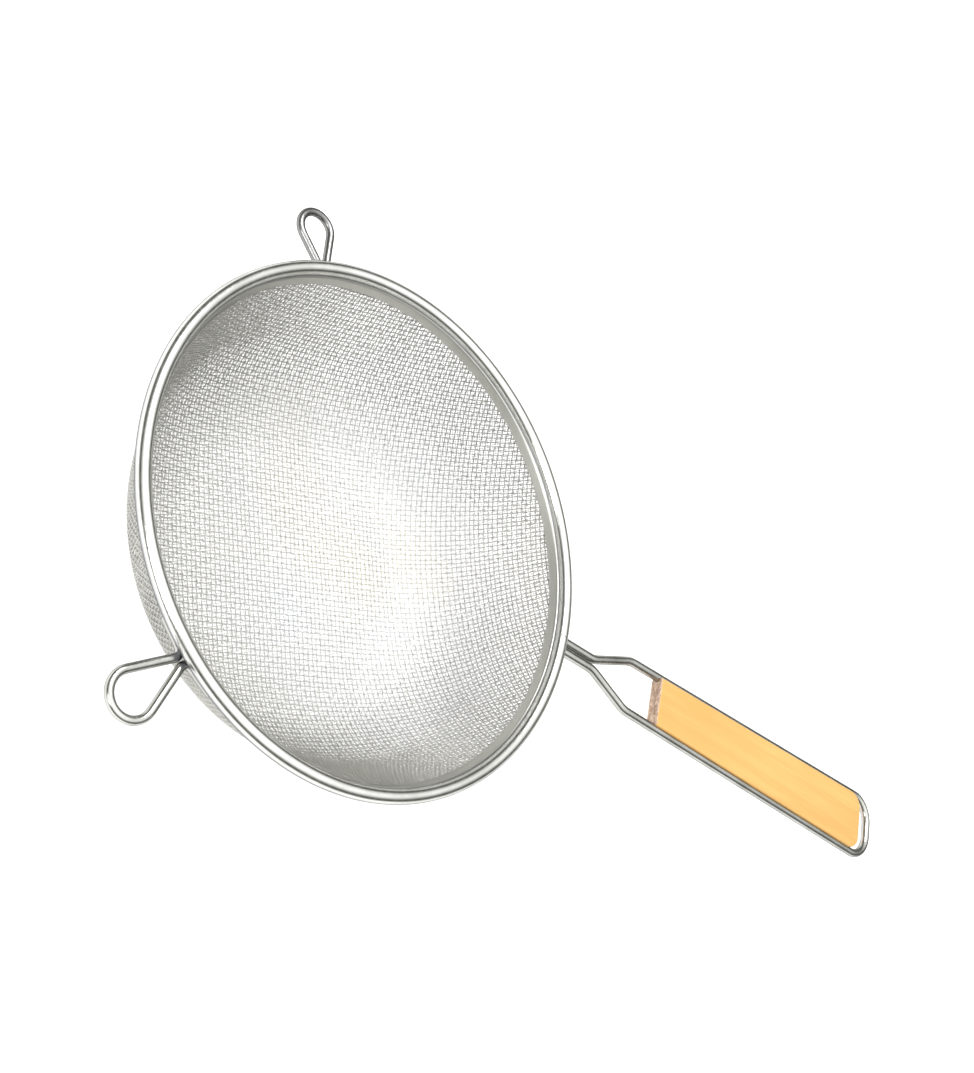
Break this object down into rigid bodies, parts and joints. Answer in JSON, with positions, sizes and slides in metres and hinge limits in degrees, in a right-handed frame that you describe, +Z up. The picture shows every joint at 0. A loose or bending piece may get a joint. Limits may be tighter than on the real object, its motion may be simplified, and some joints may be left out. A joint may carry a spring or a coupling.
{
  "type": "double sieve strainer",
  "caption": "Round double-mesh honey strainer: fine and coarse wire bowls clamped in a rolled rim, with two rim hooks and a bent-wire handle around a wooden grip.",
  "frame": {"origin": "middle of the flat bowl bottom, on the table", "axes": "+Z up out of the bowl's mouth, +X out along the handle, +Y towards the rear hook's side"},
  "size_m": [0.415, 0.2156, 0.0588],
  "materials": {
    "rim_steel": "drawn and rolled stainless, soft sheen",
    "fine_mesh": "bright woven wire",
    "coarse_mesh": "bright woven wire",
    "wire_steel": "bright drawn wire",
    "grip_wood": "bare pale hardwood, sanded"
  },
  "bodies": {
    "root": {"rim_band": "rim_steel", "rim_hoop_wire": "rim_steel", "fine_inner_mesh": "fine_mesh", "coarse_outer_mesh": "coarse_mesh", "handle_wire": "wire_steel", "wooden_grip": "grip_wood", "rear_hook": "wire_steel", "front_hook": "wire_steel"}
  },
  "joints": []
}
